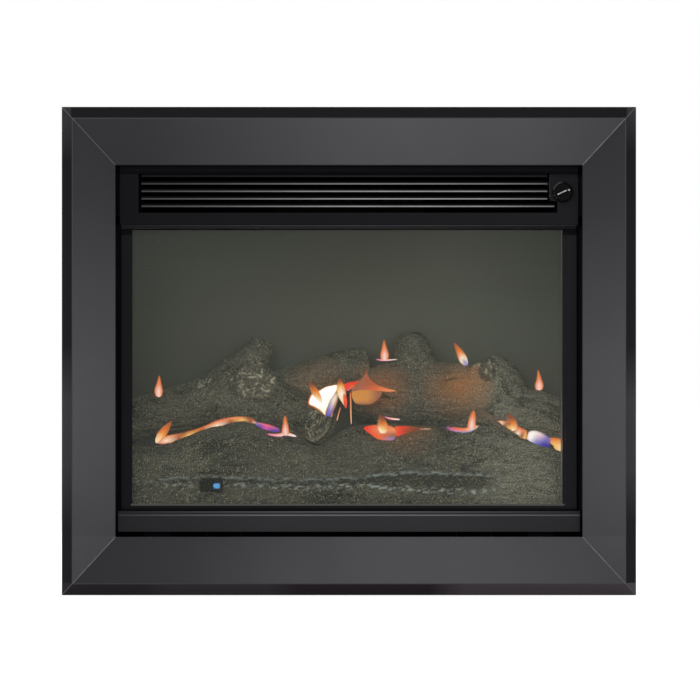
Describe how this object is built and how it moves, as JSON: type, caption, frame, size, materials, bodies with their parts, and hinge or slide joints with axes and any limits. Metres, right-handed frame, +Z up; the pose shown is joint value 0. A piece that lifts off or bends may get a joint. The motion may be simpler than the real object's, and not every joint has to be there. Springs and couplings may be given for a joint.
{
  "type": "inset gas fire",
  "caption": "Glass-fronted inset fire: a sheet steel casing with a log-effect fuel bed, a mitred wall frame, a warm-air louvre and a round control.",
  "frame": {"origin": "centre of the flat underside of the casing base, mid-way across its width and its depth", "axes": "+X to the right seen from the front, +Y back into the wall, +Z up"},
  "size_m": [0.688, 0.222, 0.585],
  "materials": {
    "graphite_paint": "satin graphite powder coat",
    "black_paint": "satin black heat-proof paint",
    "blade_paint": "satin dark grey paint, rubbed on the front edge",
    "galvanised": "galvanised sheet",
    "liner_paint": "matt grey-green heat-proof paint",
    "catalyst": "matt honeycomb ceramic",
    "bright_steel": "bright steel",
    "brass": "dull brass",
    "white_ceramic": "glazed insulator",
    "log_ceramic": "matt moulded bark with pale flecks",
    "ember_ceramic": "matt moulded ember bed",
    "window_glass": "clear heat-proof glass with a faint haze",
    "seal_fibre": "woven glass fibre rope",
    "black_plastic": "satin black moulding",
    "valve_alloy": "die-cast alloy",
    "magnet_plating": "nickel plate"
  },
  "bodies": {
    "casing": {"casing_base": "galvanised", "casing_top": "galvanised", "casing_back": "galvanised", "casing_left": "galvanised", "casing_right": "galvanised", "firebox_front": "black_paint", "firebox_side_left": "liner_paint", "firebox_side_right": "liner_paint", "firebox_back": "liner_paint", "firebox_roof": "liner_paint", "burner_tray": "galvanised", "tray_support_left": "galvanised", "tray_support_right": "galvanised", "catalyst_block": "catalyst", "burner_tube": "bright_steel", "burner_injector": "brass", "pilot_bracket": "galvanised", "pilot_burner": "brass", "thermocouple": "bright_steel", "spark_electrode": "white_ceramic", "front_log": "log_ceramic", "left_log": "log_ceramic", "centre_log": "log_ceramic", "right_log": "log_ceramic", "back_log": "log_ceramic", "ember_bed": "ember_ceramic", "window_seal": "seal_fibre", "window_clip_left": "bright_steel", "window_clip_right": "bright_steel", "lower_fret": "black_paint", "fascia_panel": "black_paint", "louvre_blade_1": "blade_paint", "louvre_blade_2": "blade_paint", "louvre_blade_3": "blade_paint", "louvre_blade_4": "blade_paint", "louvre_blade_5": "blade_paint", "louvre_comb_left": "black_paint", "louvre_comb_right": "black_paint", "knob_bezel": "black_paint", "gas_valve": "valve_alloy", "valve_bracket": "galvanised", "burner_feed_pipe": "brass", "gas_inlet_pipe": "brass", "pilot_pipe": "bright_steel"},
    "wall_frame": {"trim_rail_top": "graphite_paint", "trim_rail_bottom": "graphite_paint", "trim_rail_left": "graphite_paint", "trim_rail_right": "graphite_paint", "trim_key_lower_left": "galvanised", "trim_key_lower_right": "galvanised", "trim_key_upper_left": "galvanised", "trim_key_upper_right": "galvanised", "trim_magnet_lower_left": "magnet_plating", "trim_magnet_lower_right": "magnet_plating", "trim_magnet_upper_left": "magnet_plating", "trim_magnet_upper_right": "magnet_plating"},
    "window": {"window_frame": "black_paint", "glass_pane": "window_glass"},
    "spindle": {"valve_spindle": "bright_steel"},
    "knob": {"control_knob": "black_plastic"}
  },
  "joints": [
    {"name": "wall_frame_pull", "type": "slide", "parent": "casing", "child": "wall_frame", "axis": [0, -1, 0], "range_m": [0, 0.04]},
    {"name": "window_pull", "type": "slide", "parent": "casing", "child": "window", "axis": [0, -1, 0], "range_m": [0, 0.06]},
    {"name": "knob_turn", "type": "hinge", "parent": "casing", "child": "spindle", "pos_m": [0.2561, -0.108, 0.4278], "axis": [0, -1, 0], "range_deg": [-107, 73]},
    {"name": "knob_push", "type": "slide", "parent": "spindle", "child": "knob", "axis": [0, 1, 0], "range_m": [0, 0.004], "stiffness_N_per_m": 400}
  ]
}
